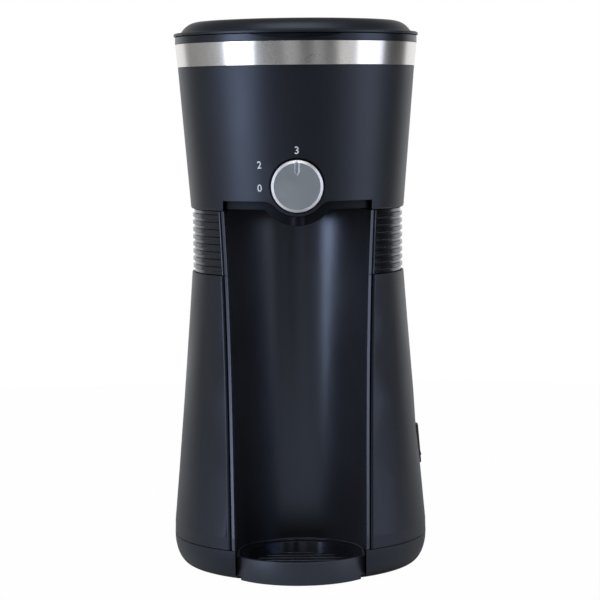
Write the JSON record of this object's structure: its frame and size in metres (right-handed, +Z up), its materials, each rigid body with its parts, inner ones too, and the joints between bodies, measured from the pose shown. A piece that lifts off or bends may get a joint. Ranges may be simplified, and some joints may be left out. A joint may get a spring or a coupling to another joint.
{
  "type": "iced coffee maker",
  "caption": "Waisted countertop iced coffee maker with a hinged lid, brew basket and filter, turning brew valve, open tumbler bay, pull-out drip tray and a rocker switch.",
  "frame": {"origin": "on the ground, under the middle of the round base", "axes": "+Z up along the column's axis; the bay, knob and tray face -Y; the switch is on the +X side"},
  "size_m": [0.139, 0.1469, 0.298],
  "materials": {
    "base": "satin, fine texture",
    "casing": "satin, fine texture",
    "waist": "satin",
    "bay": "satin",
    "head": "satin, fine texture",
    "underside": "satin",
    "rim": "satin",
    "lid": "satin",
    "liner": "satin",
    "tray": "satin",
    "steel": "brushed round the band",
    "knob_rim": "bright",
    "knob_face": "satin",
    "feet": "matte",
    "screws": "zinc plated",
    "seals": "silicone",
    "tank": "smoky, smooth",
    "basket": "satin",
    "mesh": "fine woven mesh",
    "valve": "smooth",
    "nozzle": "satin",
    "springs": "spring steel",
    "hoses": "silicone",
    "heater": "as cast",
    "element": "dulled by heat",
    "thermals": "moulded",
    "switch": "gloss",
    "terminals": "tinned",
    "bush": "matte"
  },
  "bodies": {
    "casing": {"base_shell": "base", "body_shell": "casing", "waist_band": "waist", "bay_panel": "bay", "head_shell": "head", "head_underside": "underside", "top_rim": "rim", "steel_band": "steel", "rubber_feet": "feet", "base_screws": "screws", "valve_screws": "screws", "strap_screw": "screws", "hinge_pin": "screws", "duckbill": "seals", "water_tank": "tank", "brew_basket": "basket", "filter_frame": "basket", "filter_mesh": "mesh", "valve_body": "valve", "check_valve": "valve", "water_spout": "valve", "drip_nozzle": "nozzle", "hose_clips": "springs", "cold_hose": "hoses", "riser_hose": "hoses", "heater_block": "heater", "heater_tube": "heater", "heater_element": "element", "heater_strap": "element", "thermostat": "thermals", "thermal_fuse": "thermals", "switch_body": "switch", "switch_terminals": "terminals", "cord_bush": "bush"},
    "lid": {"lid_cover": "lid", "lid_liner": "liner", "lid_gasket": "seals"},
    "knob": {"knob_body": "knob_rim", "knob_cap": "knob_face", "valve_plug": "valve", "plug_seals": "seals", "plug_clip": "springs"},
    "rocker": {"rocker": "switch"},
    "tray": {"drip_tray": "tray"}
  },
  "joints": [
    {"name": "lid_hinge", "type": "hinge", "parent": "casing", "child": "lid", "pos_m": [0, 0.0705, 0.2896], "axis": [-1, 0, 0], "range_deg": [0, 100]},
    {"name": "knob_turn", "type": "hinge", "parent": "casing", "child": "knob", "pos_m": [0, -0.05, 0.2103], "axis": [0, -1, 0], "range_deg": [0, 90]},
    {"name": "power_rocker", "type": "hinge", "parent": "casing", "child": "rocker", "pos_m": [0.06181, 0.0109, 0.06375], "axis": [-0.1736, 0.9848, 0], "range_deg": [0, 10]},
    {"name": "tray_slide", "type": "slide", "parent": "casing", "child": "tray", "axis": [0, -1, 0], "range_m": [0, 0.08]}
  ]
}
